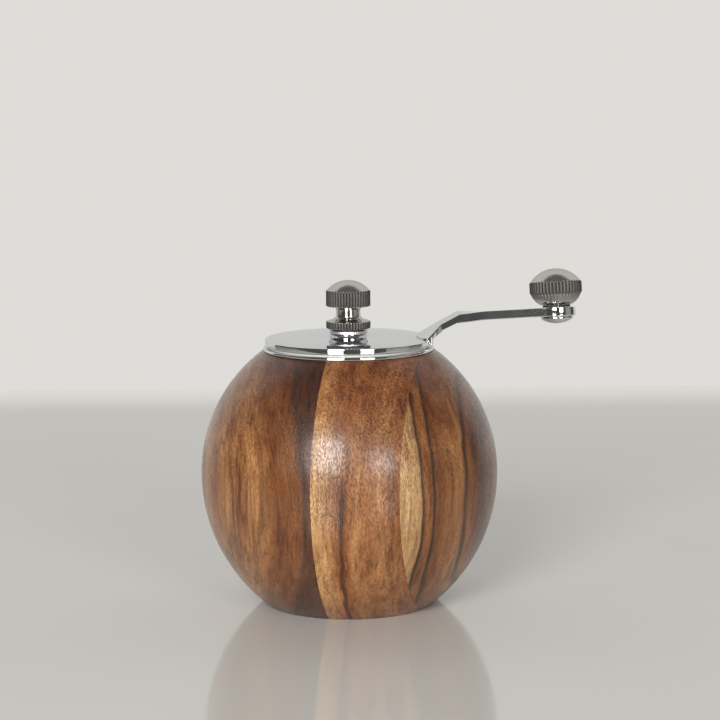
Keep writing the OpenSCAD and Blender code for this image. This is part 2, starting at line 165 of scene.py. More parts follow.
def rounded(corners):
    """A closed outline whose corners (r, z, fillet) are rounded; a corner with no fillet stays sharp."""
    steps = 6
    outline = []
    count = len(corners)
    for i, corner in enumerate(corners):
        here = Vector(corner[:2])
        fillet = corner[2] if len(corner) > 2 else 0
        to_last = Vector(corners[i - 1][:2]) - here
        to_next = Vector(corners[(i + 1) % count][:2]) - here
        if not fillet:
            outline.append(tuple(here))
            continue
        half = to_last.angle(to_next) / 2
        reach = min(fillet / math.tan(half), 0.49 * to_last.length, 0.49 * to_next.length)
        start = here + to_last.normalized() * reach
        end = here + to_next.normalized() * reach
        for k in range(steps + 1):
            t = k / steps
            curve = start * (1 - t) ** 2 + here * 2 * t * (1 - t) + end * t ** 2
            outline.append(tuple(curve))
    return outline


def turned_mesh(outline, segments=192, radius_at=None):
    """bmesh of an outline (mm) turned about Z. radius_at(r, z, angle) may cut each point's radius."""
    bm = bmesh.new()
    rings = []
    for r, z in outline:
        if r < 1e-4:
            rings.append([bm.verts.new((0, 0, z * MM))])
            continue
        ring = []
        for s in range(segments):
            a = 2 * math.pi * s / segments
            cut = radius_at(r, z, a) if radius_at else r
            ring.append(bm.verts.new((cut * math.cos(a) * MM, cut * math.sin(a) * MM, z * MM)))
        rings.append(ring)
    for one, two in zip(rings, rings[1:] + rings[:1]):
        if len(one) == 1 and len(two) == 1:
            continue
        for s in range(segments):
            t = (s + 1) % segments
            corners = [one[s % len(one)], one[t % len(one)], two[t % len(two)], two[s % len(two)]]
            unique = list(dict.fromkeys(corners))
            bm.faces.new(unique)
    bmesh.ops.recalc_face_normals(bm, faces=bm.faces)
    return bm


def knurled_mesh(outline, radius, depth, bands, mirror=None):
    """A turned outline with V grooves cut into its bands (low z, high z, how deep at low and high).

    The "groove" attribute weighs the painted shade in the teeth: 1 in a tooth's root, 0 on plain metal and
    below 0 where mirror (low z, high z) says that it is polished brighter still.
    """
    per_tooth = 8
    flat = 0.15
    crest_shade = 0.8
    mirror_dullness = -0.3

    def groove(angle):
        wave = (angle * KNURLS / (2 * math.pi)) % 1
        return min(1.0, max(0.0, abs(wave * 2 - 1) * (1 + 2 * flat) - flat))

    def band_depth(z):
        for low, high, at_low, at_high in bands:
            if low <= z <= high:
                return at_low + (at_high - at_low) * (z - low) / (high - low)
        return 0.0

    def radius_at(r, z, angle):
        share = band_depth(z)
        return min(r, radius - depth * groove(angle)) if share == 1.0 else r - depth * share * groove(angle)

    bm = turned_mesh(outline, KNURLS * per_tooth, radius_at)
    layer = bm.verts.layers.float.new("groove")
    for vert in bm.verts:
        share = band_depth(vert.co.z / MM)
        angle = math.atan2(vert.co.y, vert.co.x)
        # painted shade: the teeth are darkened, most in their roots and nearly as much on their crests
        vert[layer] = (crest_shade + (1 - crest_shade) * groove(angle)) * share
        if mirror and mirror[0] < vert.co.z / MM < mirror[1]:
            vert[layer] = mirror_dullness
    return bm


def placed(bm, name, material):
    """Turns a bmesh into an object of the scene."""
    mesh = bpy.data.meshes.new(name)
    bm.to_mesh(mesh)
    bm.free()
    mesh.materials.append(material)
    piece = bpy.data.objects.new(name, mesh)
    bpy.context.scene.collection.objects.link(piece)
    return piece


def finished(bm, name, node, body, material, matrix=None, shade=True):
    """Turns a bmesh into a piece that stands for a CAD node and rides on its body.

    matrix carries it into the mill's frame. Without shade, only the faces that are smooth already
    stay smooth.
    """
    sharp = math.radians(35)
    if matrix is not None:
        bm.transform(matrix)
    for face in bm.faces:
        face.smooth = face.smooth or shade
    for edge in bm.edges:
        if len(edge.link_faces) == 2 and edge.calc_face_angle(0) > sharp:
            edge.smooth = False
    piece = placed(bm, name, material)
    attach(piece, body)
    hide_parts(node)


# ---------------------------------------------------------------- material graphs

class Graph:
    """Short spellings for the nodes of one material."""

    def __init__(self, name):
        self.material = bpy.data.materials.new(name)
        self.material.use_nodes = True
        self.tree = self.material.node_tree
        self.tree.nodes.clear()
        self.shader = self.node("BsdfPrincipled")
        output = self.node("OutputMaterial")
        self.tree.links.new(self.shader.outputs[0], output.inputs[0])

    def node(self, kind, inputs=None, **settings):
        made = self.tree.nodes.new("ShaderNode" + kind)
        for key, value in settings.items():
            setattr(made, key, value)
        for key, value in (inputs or {}).items():
            self.feed(made.inputs[key], value)
        return made

    def feed(self, socket, value):
        if isinstance(value, bpy.types.NodeSocket):
            self.tree.links.new(value, socket)
        else:
            socket.default_value = value

    def set(self, **values):
        """Feeds the shader's own sockets: base_color=... feeds "Base Color"."""
        names = {"ior": "IOR"}
        for key, value in values.items():
            self.feed(self.shader.inputs[names.get(key, key.replace("_", " ").title())], value)

    def math(self, operation, a, b=0.0):
        return self.node("Math", {0: a, 1: b}, operation=operation).outputs[0]

    def scaled(self, vector, scale):
        made = self.node("VectorMath", {0: vector, 1: scale}, operation="MULTIPLY")
        return made.outputs[0]

    def combine(self, x, y, z):
        return self.node("CombineXYZ", {0: x, 1: y, 2: z}).outputs[0]

    def noise(self, vector, scale=1.0, detail=4.0, roughness=0.55):
        made = self.node("TexNoise", {"Vector": vector, "Scale": scale, "Detail": detail,
                                      "Roughness": roughness})
        return made.outputs["Fac"]

    def span(self, value, low, high, to_low=0.0, to_high=1.0, smooth=False):
        """value's range low..high, carried to to_low..to_high and held there."""
        made = self.node("MapRange", {"Value": value, "From Min": low, "From Max": high,
                                      "To Min": to_low, "To Max": to_high})
        made.interpolation_type = "SMOOTHSTEP" if smooth else "LINEAR"
        return made.outputs[0]

    def ramp(self, value, stops):
        """A blend through stops (place, colour)."""
        made = self.node("ValToRGB", {0: value})
        ramp = made.color_ramp
        for place, _ in stops[2:]:
            ramp.elements.new(place)
        for element, (place, colour) in zip(ramp.elements, stops):
            element.position = place
            element.color = (*colour, 1)
        return made.outputs[0]

    def mix(self, share, a, b, blend="MIX"):
        made = self.node("Mix", data_type="RGBA", blend_type=blend)
        self.feed(made.inputs[0], share)
        self.feed(made.inputs[6], a if isinstance(a, bpy.types.NodeSocket) else (*a, 1))
        self.feed(made.inputs[7], b if isinstance(b, bpy.types.NodeSocket) else (*b, 1))
        return made.outputs[2]

    def bump(self, height, strength, distance):
        inputs = {"Strength": strength, "Distance": distance * MM, "Height": height}
        return self.node("Bump", inputs).outputs[0]

    def millimetres(self):
        """The piece's own coordinates, in millimetres."""
        place = self.node("TexCoord").outputs["Object"]
        return self.scaled(place, (1 / MM,) * 3)


# ---------------------------------------------------------------- wood

# what each feature of the wood multiplies the tone under it by
BROAD_DARK = (0.42, 0.34, 0.30)
BROAD_PALE = (1.42, 1.50, 1.62)
FINE_DARK = (0.50, 0.40, 0.33)
FINE_PALE = (1.32, 1.36, 1.36)
HAIR_DARK = (0.78, 0.72, 0.68)
STREAK_CORE = (0.26, 0.20, 0.20)
STREAK_GLOW = (0.86, 0.68, 0.62)
PORE_DARK = (0.36, 0.27, 0.22)
PORE_PALE = (1.30, 1.30, 1.30)
CLOUD_RED = (0.80, 0.64, 0.52)
SHOULDER_DARKER = (0.62, 0.50, 0.42)
BASE_DARKER = (0.60, 0.50, 0.44)


def board_material(name, tones, start, end, bend, seed, figure, wander=1.0, swirl=0.0, streak=None,
                   shoulder=SHOULDER_DARKER, shoulder_z=12.0):
    """Oiled acacia of one board.

    tones are the colours across the board from offset start to end, bend is how far the growth rings
    bow, wander how unevenly they run, and seed shifts every pattern so that no two boards match.
    figure is how strongly the short dark pores show and swirl how much they turn. streak is a dark
    line of heartwood (offset, half width, height it fades out at).
    """
    g = Graph(name)
    place = g.millimetres()
    turn = g.node("VectorRotate", {"Vector": place, "Axis": (0, 0, 1), "Angle": -BOARD_ANGLE})
    across, deep, up = g.node("SeparateXYZ", {0: turn.outputs[0]}).outputs

    def times(value, factor):
        return g.math("MULTIPLY", value, factor)

    def around(value, factor):
        """A noise value, centred on zero and scaled."""
        return times(g.math("SUBTRACT", value, 0.5), factor)

    # growth rings bow away from the board's middle height, and run unevenly
    from_middle = g.math("SUBTRACT", up, BELLY_Z - 1)
    bow = times(g.math("MULTIPLY", from_middle, from_middle), bend)
    slow = g.combine(times(across, 0.035), times(deep, 0.035), g.math("ADD", times(up, 0.028), seed))
    quick = g.combine(times(across, 0.16), times(deep, 0.16), g.math("ADD", times(up, 0.075), seed))
    drift = g.math("ADD", around(g.noise(slow, 1, 2), 5.5 * wander),
                   around(g.noise(quick, 1, 3), 1.9 * wander))
    ring = g.math("ADD", g.math("ADD", across, bow), drift)
    tone = g.ramp(g.span(ring, start, end), tones)

    # streaks along the trunk, in three widths
    def streaks(width, length, detail):
        vector = g.combine(times(ring, 1 / width), g.math("ADD", times(deep, 0.4 / width), seed * 3),
                           times(up, 1 / length))
        return g.noise(vector, 1, detail, 0.6)

    def shaded(share, factors):
        return g.mix(share, tone, g.mix(1.0, tone, factors, "MULTIPLY"))

    broad = streaks(4.6, 60, 3)
    fine = streaks(1.0, 30, 4)
    hair = streaks(0.36, 9, 2)
    tone = shaded(g.span(broad, 0.52, 0.74, 0, 0.9), BROAD_DARK)
    tone = shaded(g.span(broad, 0.46, 0.28, 0, 0.8), BROAD_PALE)
    tone = shaded(g.span(fine, 0.48, 0.30, 0, 0.9), FINE_PALE)
    tone = shaded(g.span(fine, 0.50, 0.68, 0, 0.9), FINE_DARK)
    tone = shaded(g.span(hair, 0.35, 0.65, 0.6, 0), HAIR_DARK)
    if streak is not None:
        offset, half, fade = streak
        apart = g.math("ABSOLUTE", g.math("SUBTRACT", ring, offset))
        line = g.math("MULTIPLY", g.span(apart, half, half * 0.2, smooth=True),
                      g.span(up, fade, fade - 14, smooth=True))
        glow = g.math("MULTIPLY", g.span(apart, half * 4, half, smooth=True),
                      g.span(up, fade + 4, fade - 12, smooth=True))
        tone = shaded(times(glow, 0.55), STREAK_GLOW)
        tone = shaded(times(line, 0.95), STREAK_CORE)

    # open pores: short dark flecks, which follow the grain's slow swirl
    lean = around(g.noise(slow, 2.4, 1), 2.0 + 14.0 * swirl)
    curl = around(g.noise(quick, 1.3, 1), 1.0 + 3.0 * swirl)
    fleck_place = g.combine(times(g.math("ADD", across, g.math("ADD", lean, curl)), 1.8),
                            times(deep, 1.8), times(up, 0.62))
    fleck = g.noise(fleck_place, 1.2, 2, 0.7)
    where = g.math("MULTIPLY", g.span(g.noise(slow, 2.1, 2), 0.38, 0.60, 0.6, 1.0),
                   g.span(up, BELLY_Z - 12, BELLY_Z + 8, 0.5, 1.0))
    pores = g.math("MULTIPLY", g.span(fleck, 0.49, 0.59), g.math("MULTIPLY", where, figure))
    tone = shaded(pores, PORE_DARK)
    tone = shaded(g.math("MULTIPLY", g.span(fleck, 0.47, 0.33), figure * 0.6), PORE_PALE)

    # large soft clouds of redder wood; the wood is darker and redder near the top and darker towards the
    # base
    cloud = g.noise(slow, 3.4, 2)
    tone = shaded(g.span(cloud, 0.50, 0.70, 0, 0.65), CLOUD_RED)
    reach = g.math("ADD", up, around(cloud, 16))
    tone = shaded(g.span(reach, WOOD_TOP - 2 * shoulder_z, WOOD_TOP - 4, 0, 1), shoulder)
    tone = shaded(g.span(up, 9, 0, 0, 0.55), BASE_DARKER)
    g.set(base_color=tone)

    wear = g.noise(place, 0.09, 3)
    rough = g.math("ADD", g.span(wear, 0.3, 0.7, 0.25, 0.32), times(pores, 0.25))
    g.set(roughness=rough, ior=1.47, coat_weight=0.4, coat_roughness=0.19)
    relief = g.math("SUBTRACT", times(hair, 0.5), times(pores, 0.9))
    g.set(normal=g.bump(relief, 0.45, 0.12))
    return g.material


# base tones of the four boards, from one glue line to the next (linear colours)
BROWN = (0.215, 0.078, 0.023)
WARM = (0.300, 0.120, 0.038)
TAN = (0.400, 0.188, 0.070)
GOLD = (0.520, 0.290, 0.115)
PALE = (0.450, 0.270, 0.118)
TAWNY = (0.335, 0.150, 0.056)
DARK = (0.105, 0.043, 0.020)
NEAR_BLACK = (0.048, 0.022, 0.012)

wood_1 = board_material("acacia_outer_left", [(0.0, WARM), (0.35, TAN), (0.6, WARM), (0.8, TAN), (1.0, TAN)],
                        -46, -BOARD_W, 0.004, 3.1, 0.6)
wood_2 = board_material("acacia_left",
                        [(0.0, WARM), (0.20, TAN), (0.36, TAN), (0.50, BROWN), (0.68, BROWN),
                         (0.77, BROWN), (0.86, DARK), (1.0, DARK)],
                        -BOARD_W, 2.0, 0.006, 7.7, 0.7, shoulder=(0.55, 0.44, 0.38))
wood_3 = board_material("acacia_middle",
                        [(0.0, GOLD), (0.16, GOLD), (0.27, TAN), (0.42, WARM), (0.52, TAN),
                         (0.66, WARM), (0.82, TAN), (1.0, WARM)],
                        0.0, BOARD_W, 0.001, 12.4, 1.0, swirl=0.30, streak=(8.9, 1.15, 52),
                        shoulder=(0.66, 0.50, 0.40), shoulder_z=15.0)
wood_4 = board_material("acacia_right",
                        [(0.0, PALE), (0.24, PALE), (0.262, NEAR_BLACK), (0.30, WARM), (0.36, WARM),
                         (0.385, NEAR_BLACK), (0.42, BROWN), (0.54, WARM), (0.62, TAWNY), (0.68, TAWNY),
                         (0.71, NEAR_BLACK), (0.75, WARM), (0.80, BROWN), (0.86, DARK),
                         (0.90, BROWN), (1.0, DARK)],
                        BOARD_W, BELLY_R + 2, 0.007, 5.2, 0.75, wander=0.45)


# ---------------------------------------------------------------- metals and plastics

def metal(name, colour, low, high, scale=0.35, peel=0.02, groove=None, edge=(1, 1, 1, 1)):
    """A metal with uneven polish: low..high is its roughness, and peel how uneven the surface is.

    groove is the colour of painted shade in knurled teeth, weighed by the mesh's "groove" attribute; the
    teeth are rougher as well. edge is the tint of glancing reflections.
    """
    smudge_depth = 0.05
    groove_roughness = 0.5
    g = Graph(name)
    place = g.millimetres()
    smudge = g.noise(place, scale, 4, 0.6)
    tint = tuple(max(0.0, c - smudge_depth) for c in colour)
    tone = g.mix(smudge, colour, tint)
    rough = g.span(smudge, 0.3, 0.75, low, high)
    if groove is not None:
        depth = g.node("Attribute", attribute_name="groove").outputs["Fac"]
        # painted shade in the knurled teeth, where they are also rougher
        tone = g.mix(depth, tone, groove)
        rough = g.math("ADD", rough, g.math("MULTIPLY", depth, groove_roughness))
    g.set(base_color=tone, metallic=1.0, roughness=rough, specular_tint=edge)
    wave = g.noise(place, 0.9, 2)
    g.set(normal=g.bump(wave, peel, 0.05))
    return g.material


chrome = metal("chrome_plate", (0.81, 0.815, 0.82), 0.03, 0.07, peel=0.03, edge=(0.84, 0.85, 0.87, 1))
# satin chrome and nickel get a painted shade colour in their knurled teeth
satin_chrome = metal("satin_chrome", (0.81, 0.815, 0.82), 0.03, 0.07, groove=(0.74, 0.73, 0.72),
                     peel=0.03, edge=(0.84, 0.85, 0.87, 1))
nickel = metal("plated_nickel", (0.64, 0.63, 0.60), 0.19, 0.25, scale=0.6, groove=(0.088, 0.084, 0.080),
               edge=(0.75, 0.74, 0.72, 1))
zinc = metal("bright_zinc", (0.66, 0.67, 0.69), 0.22, 0.38, scale=0.8, peel=0.1)
steel = metal("drawn_steel", (0.56, 0.57, 0.58), 0.26, 0.42, scale=0.5, peel=0.1)
spring_wire = metal("spring_wire", (0.44, 0.45, 0.47), 0.28, 0.45, scale=1.4, peel=0.12)
bronze = metal("turned_bronze", (0.60, 0.40, 0.18), 0.25, 0.42, scale=0.7, peel=0.1)


def moulded(name, colour, low, high, grain, translucent=0.0):
    """Moulded plastic or fired ceramic: fine grain, slightly uneven colour and polish."""
    g = Graph(name)
    place = g.millimetres()
    speck = g.noise(place, grain, 3, 0.6)
    darker = tuple(c * 0.86 for c in colour)
    g.set(base_color=g.mix(speck, colour, darker), roughness=g.span(speck, 0.3, 0.7, low, high),
          subsurface_weight=translucent)
    g.shader.inputs["Subsurface Radius"].default_value = (0.6 * MM, 0.5 * MM, 0.4 * MM)
    g.set(normal=g.bump(speck, 0.12, 0.05))
    return g.material


white_nylon = moulded("white_nylon", (0.80, 0.80, 0.76), 0.38, 0.52, 3.0, 0.1)
black_nylon = moulded("black_nylon", (0.030, 0.030, 0.032), 0.42, 0.60, 4.0)
ceramic = moulded("fired_ceramic", (0.78, 0.75, 0.69), 0.45, 0.62, 5.0, 0.05)


def repaint(material, *names):
    """A CAD node keeps its shape and gets this material."""
    for n in names:
        slots = frame["nodes"][n].data.materials
        slots.clear()
        slots.append(material)


repaint(zinc, "ring_screws", "housing_screws", "bridge_screws", "hub_nut", "hub_washer", "burr_washer")
repaint(steel, "drive_shaft", "shaft_nut", "burr_clip")
repaint(chrome, "arm_rivets")
repaint(white_nylon, "glide_washer", "thrust_washer")
repaint(black_nylon, "burr_housing", "shaft_bridge", "knob_washer", "adjuster_washer")
repaint(ceramic, "outer_burr", "inner_burr")
repaint(bronze, "bridge_bush", "knob_insert")


# ---------------------------------------------------------------- wooden body

def wood_outline():
    """Outline of the hollow ball: up its outside from the foot, and down through its bores."""
    foot_round, shoulder_round, bore_chamfer = 0.45, 0.4, 0.3
    foot_gap, shoulder_gap = 1.1, 0.6
    half_base = math.degrees(math.asin(BELLY_Z / LOWER_R))
    half_top = math.degrees(math.asin((WOOD_TOP - BELLY_Z) / SHOULDER_R))
    lower = arc(BELLY_R - LOWER_R, BELLY_Z, LOWER_R, foot_gap - half_base, 0, 48)
    upper = arc(BELLY_R - SHOULDER_R, BELLY_Z, SHOULDER_R, 0, half_top - shoulder_gap, 56)[1:]
    base_r = lower[0][0]
    top_r = upper[-1][0]
    foot = [(base_r - 2 * foot_round, 0.0), (base_r - foot_round, 0.2)]
    shoulder = [(top_r - 0.12, WOOD_TOP - 0.08), (top_r - shoulder_round, WOOD_TOP)]
    inside = [(HOPPER_R + bore_chamfer, WOOD_TOP), (HOPPER_R, WOOD_TOP - bore_chamfer),
              (HOPPER_R, FLOOR_Z), (LOWER_BORE_R, FLOOR_Z), (LOWER_BORE_R, RECESS_Z),
              (RECESS_R, RECESS_Z), (RECESS_R, bore_chamfer), (RECESS_R + bore_chamfer, 0.0)]
    return foot + lower + upper + shoulder + inside


def cut(bm, offset, keep_above):
    """Cuts the wood across the boards at an offset from the axis, and closes the cut."""
    normal = Vector((math.cos(BOARD_ANGLE), math.sin(BOARD_ANGLE), 0))
    bmesh.ops.bisect_plane(bm, geom=bm.verts[:] + bm.edges[:] + bm.faces[:], dist=1e-7,
                           plane_co=normal * offset * MM, plane_no=normal,
                           clear_inner=keep_above, clear_outer=not keep_above)
    rim = [e for e in bm.edges if e.is_boundary]
    caps = bmesh.ops.edgeloop_fill(bm, edges=rim)["faces"]
    bmesh.ops.triangulate(bm, faces=caps)


def board(number, low, high, material):
    """One glued board of the ball, from offset low to high across it; None is the ball's own side."""
    bm = turned_mesh(wood_outline(), 288)
    if low is not None:
        cut(bm, low + GLUE_LINE / 2, True)
    if high is not None:
        cut(bm, high - GLUE_LINE / 2, False)
    finished(bm, f"turned_board_{number}", f"wood_board_{number}", "mill_body", material)


board(1, None, -BOARD_W, wood_1)
board(2, -BOARD_W, 0, wood_2)
board(3, 0, BOARD_W, wood_3)
board(4, BOARD_W, None, wood_4)


# ---------------------------------------------------------------- chromed ring and lid

def ring_piece():
    """The fixed ring: a flat bead on the wood, with a sleeve down into the mouth."""
    flange_z = WOOD_TOP + 0.02
    outline = rounded([
        (SLEEVE_IN, SLEEVE_Z, 0.2), (SLEEVE_OUT, SLEEVE_Z, 0.2), (SLEEVE_OUT, flange_z),
        (RING_R, flange_z, 0.45), (RING_R, RING_TOP, 0.45), (SLEEVE_IN, RING_TOP, 0.3)])
    finished(turned_mesh(outline, 256), "mouth_bead", "mouth_ring", "mill_body", chrome)


ring_piece()


def lid_plate():
    """The lid: a round plate with a skirt that turns in the ring's sleeve."""
    skirt_out = 17.67
    skirt_in = 16.47
    hole = 4.55
    outline = rounded([
        (skirt_out, PLATE_Z), (PLATE_R, PLATE_Z, 0.4), (PLATE_R, LID_TOP, 0.5),
        (hole, LID_TOP, 0.1), (hole, PLATE_Z, 0.1), (skirt_in, PLATE_Z, 0.3),
        (skirt_in, SKIRT_Z, 0.25), (skirt_out, SKIRT_Z, 0.25)])
    finished(turned_mesh(outline, 256), "lid_plate", "crank_plate", "crank_lid", chrome)


lid_plate()


def hub():
    """A drum that widens upwards to its brim, under a thin satin ring with fine teeth."""
    seat = LID_TOP + 0.02
    brim = LID_TOP + 1.08
    ring_z = LID_TOP + 1.6
    ring_r = HUB_R - 0.35
    neck_r = HUB_R - 0.9
    tooth = 0.05
    outline = [(SHAFT_CORNER, seat), (HUB_R - 0.72, seat), (HUB_R - 0.62, seat + 0.1),
               (HUB_R - 0.06, brim - 0.1), (HUB_R, brim), (HUB_R - 0.05, brim + 0.1),
               (HUB_R - 0.3, brim + 0.24), (neck_r + 0.05, brim + 0.34), (neck_r, ring_z - 0.1),
               (ring_r - 0.15, ring_z - 0.04), (ring_r, ring_z + 0.08), (ring_r, HUB_TOP - 0.15),
               (ring_r - 0.06, HUB_TOP - 0.05), (ring_r - 0.2, HUB_TOP), (SHAFT_CORNER, HUB_TOP)]
    bm = knurled_mesh(outline, ring_r, tooth, [(ring_z, HUB_TOP - 0.02, 1, 1)])
    finished(bm, "hub_boss", "hub_collar", "crank_lid", satin_chrome)


hub()


# ---------------------------------------------------------------- spring

def spring():
    """The coil under the thrust washer, wound between the foot and head of the CAD spring's box."""
    low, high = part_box("burr_spring")
    wire = 0.45
    coil_r = high.x / MM - wire
    foot, head = low.z / MM + wire, high.z / MM - wire
    turns, per_turn, around = 5, 48, 16
    steps = turns * per_turn
    closed = 1 / turns
    end_rise = 0.135
    cut_end = 0.8

    def rise(t):
        """Height share along the wire: the first and last turns lie closed."""
        if t < closed:
            return end_rise * t / closed
        if t > 1 - closed:
            return 1 - end_rise * (1 - t) / closed
        return end_rise + (1 - 2 * end_rise) * (t - closed) / (1 - 2 * closed)

    bm = bmesh.new()
    rings = []
    for i in range(steps + 1):
        turn = 2 * math.pi * i / per_turn
        z = foot + (head - foot) * rise(i / steps)
        thick = wire * (cut_end if i in (0, steps) else 1.0)
        ring = []
        for k in range(around):
            a = 2 * math.pi * k / around
            r = coil_r + thick * math.cos(a)
            ring.append(bm.verts.new((r * math.cos(turn) * MM, r * math.sin(turn) * MM,
                                      (z + thick * math.sin(a)) * MM)))
        rings.append(ring)
    for one, two in zip(rings, rings[1:]):
        for k in range(around):
            n = (k + 1) % around
            bm.faces.new((one[k], one[n], two[n], two[k])).smooth = True
    bm.faces.new(rings[0])
    bm.faces.new(rings[-1])
    bmesh.ops.recalc_face_normals(bm, faces=bm.faces)
    piece = placed(bm, "burr_spring_coil", spring_wire)
    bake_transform(piece)
    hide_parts("burr_spring")


spring()


# ---------------------------------------------------------------- knurled knobs

def adjusting_knob():
    """A domed, knurled head on a polished neck, over a knurled flange."""
    depth = 0.30
    root = KNOB_R - depth
    flange_top = KNOB_Z + 2.35
    head_z = flange_top + 4.4
    band_top = head_z + 4.9
    # the neck: a short cone off the flange, a straight waist and a small flare under the head
    waist, curve = 3.68, 2.2
    cone_out, cone_h = 2.1, 1.75
    flare_out, flare_h = 0.75, 1.1
    cone = [(waist + cone_out * (1 - t) ** curve, flange_top + cone_h * t)
            for t in [i / 12 for i in range(13)]]
    flare = [(waist + flare_out * t ** curve, head_z - flare_h * (1 - t))
             for t in [i / 10 for i in range(11)]]
    outline = ([(0, KNOB_Z + 0.02), (KNOB_R - 0.5, KNOB_Z), (KNOB_R - 0.08, KNOB_Z + 0.2),
                (KNOB_R, KNOB_Z + 0.32), (KNOB_R, flange_top - 0.25), (KNOB_R - 0.1, flange_top - 0.12),
                (root - 0.2, flange_top)]
               + cone + flare
               + [(root - 0.1, head_z + 0.01), (KNOB_R - 0.08, head_z + 0.1), (KNOB_R, head_z + 0.25),
                  (KNOB_R, band_top - 0.35), (KNOB_R - 0.1, band_top - 0.15)]
               + dome(root, band_top, KNOB_TOP, 24))
    bands = [(KNOB_Z + 0.1, flange_top - 0.2, 1, 1), (head_z + 0.1, band_top - 0.01, 1, 1)]
    bm = knurled_mesh(outline, KNOB_R, depth, bands, mirror=(flange_top + 0.02, head_z - 0.02))
    finished(bm, "adjusting_knob_turned", "adjusting_knob", "adjuster", nickel)


adjusting_knob()


def crank_knob():
    """In the crank knob's own frame, from its underside up; its teeth fade into the underside."""
    depth = 0.34
    root = CRANK_KNOB_R - depth
    bottom, band_z, band_top, top = 0.8, 4.2, 7.9, 11.9
    # the round underside: its arc's radius, and its centre, up from the band and in from the root
    under_r, under_up, under_in = 5.97, 1.94, 5.64
    under_low = math.degrees(math.asin((bottom - band_z - under_up) / under_r))
    under_high = math.degrees(math.asin(-under_up / under_r))
    under = arc(root - under_in, band_z + under_up, under_r, under_low, under_high, 16)
    outline = ([(0, bottom)] + under
               + [(CRANK_KNOB_R - 0.1, band_z + 0.2), (CRANK_KNOB_R, band_z + 0.45),
                  (CRANK_KNOB_R, band_top - 0.45), (CRANK_KNOB_R - 0.1, band_top - 0.2)]
               + dome(root, band_top, top, 28))
    bands = [(1.6, band_z + 0.1, 0.1, 0.8), (band_z + 0.1, band_top - 0.01, 1, 1)]
    bm = knurled_mesh(outline, CRANK_KNOB_R, depth, bands)
    finished(bm, "crank_knob_turned", "crank_knob", "handle_knob", nickel, EYE)


crank_knob()


def pin():
    """The pin's shouldered head under the arm's eye; its shank is hidden in the eye and knob."""
    head_r, rim, crown = 4.95, 0.65, 1.55
    journal_r, journal_top, shank_r, shank_top = 2.3, 0.7, 2.0, 7.5
    low = -ARM_T - 0.05
    bowl = [(r, -z) for r, z in reversed(dome(head_r, rim - low, rim - low + crown, 20))]
    outline = (bowl + [(head_r, low - rim * 0.5), (head_r - 0.2, low), (journal_r, low),
                       (journal_r, journal_top), (shank_r, journal_top + 0.02),
                       (shank_r, shank_top), (0, shank_top)])
    bm = turned_mesh(outline, 128)
    finished(bm, "knob_pin_turned", "knob_pin", "handle_knob", chrome, EYE)


pin()


# ---------------------------------------------------------------- crank arm

def rounded_section(half_w, thick, corner):
    """Cross section of the bar (y, z), top at z = 0. Close pairs of points keep its flats flat."""
    points = []
    hold = 0.06
    right, left = half_w - corner, corner - half_w
    top, low = -corner, corner - thick
    for y, z, start in ((right, top, 0), (left, top, 90), (left, low, 180), (right, low, 270)):
        turned = arc(y, z, corner, start, start + 90, 3)
        before, after = math.radians(start - 90), math.radians(start + 180)
        points.append((turned[0][0] + hold * math.cos(before), turned[0][1] + hold * math.sin(before)))
        points += turned
        points.append((turned[-1][0] + hold * math.cos(after), turned[-1][1] + hold * math.sin(after)))
    return points


def outer_bar(bm):
    """The bar from its bend into the eye; just past the bend it turns from level to the eye's lean."""
    short_of_centre = 2.5
    corner = 0.22
    turn_share = 0.3
    steps = 24
    bend = Vector((BEND_X, 0, BEND_Z))
    eye = EYE.translation / MM
    along = (eye - bend).normalized()
    level = along.cross(Vector((0, 1, 0))).normalized()
    pin_up = EYE.to_3x3() @ Vector((0, 0, 1))
    lean = math.copysign(level.angle(pin_up), level.cross(pin_up).dot(along))
    length = (eye - bend).length - short_of_centre
    section = rounded_section(ARM_W / 2, ARM_T, corner)
    rings = []
    for i in range(steps + 1):
        share = i / steps
        twist = min(1.0, share / turn_share)
        up = Matrix.Rotation(lean * twist * twist * (3 - 2 * twist), 3, along) @ level
        side = up.cross(along)
        rings.append([bm.verts.new((bend + along * length * share + side * y + up * z) * MM)
                      for y, z in section])
    for one, two in zip(rings, rings[1:]):
        for k in range(len(section)):
            n = (k + 1) % len(section)
            bm.faces.new([one[k], two[k], two[n], one[n]])
    bm.faces.new(rings[0])
    bm.faces.new(list(reversed(rings[-1])))


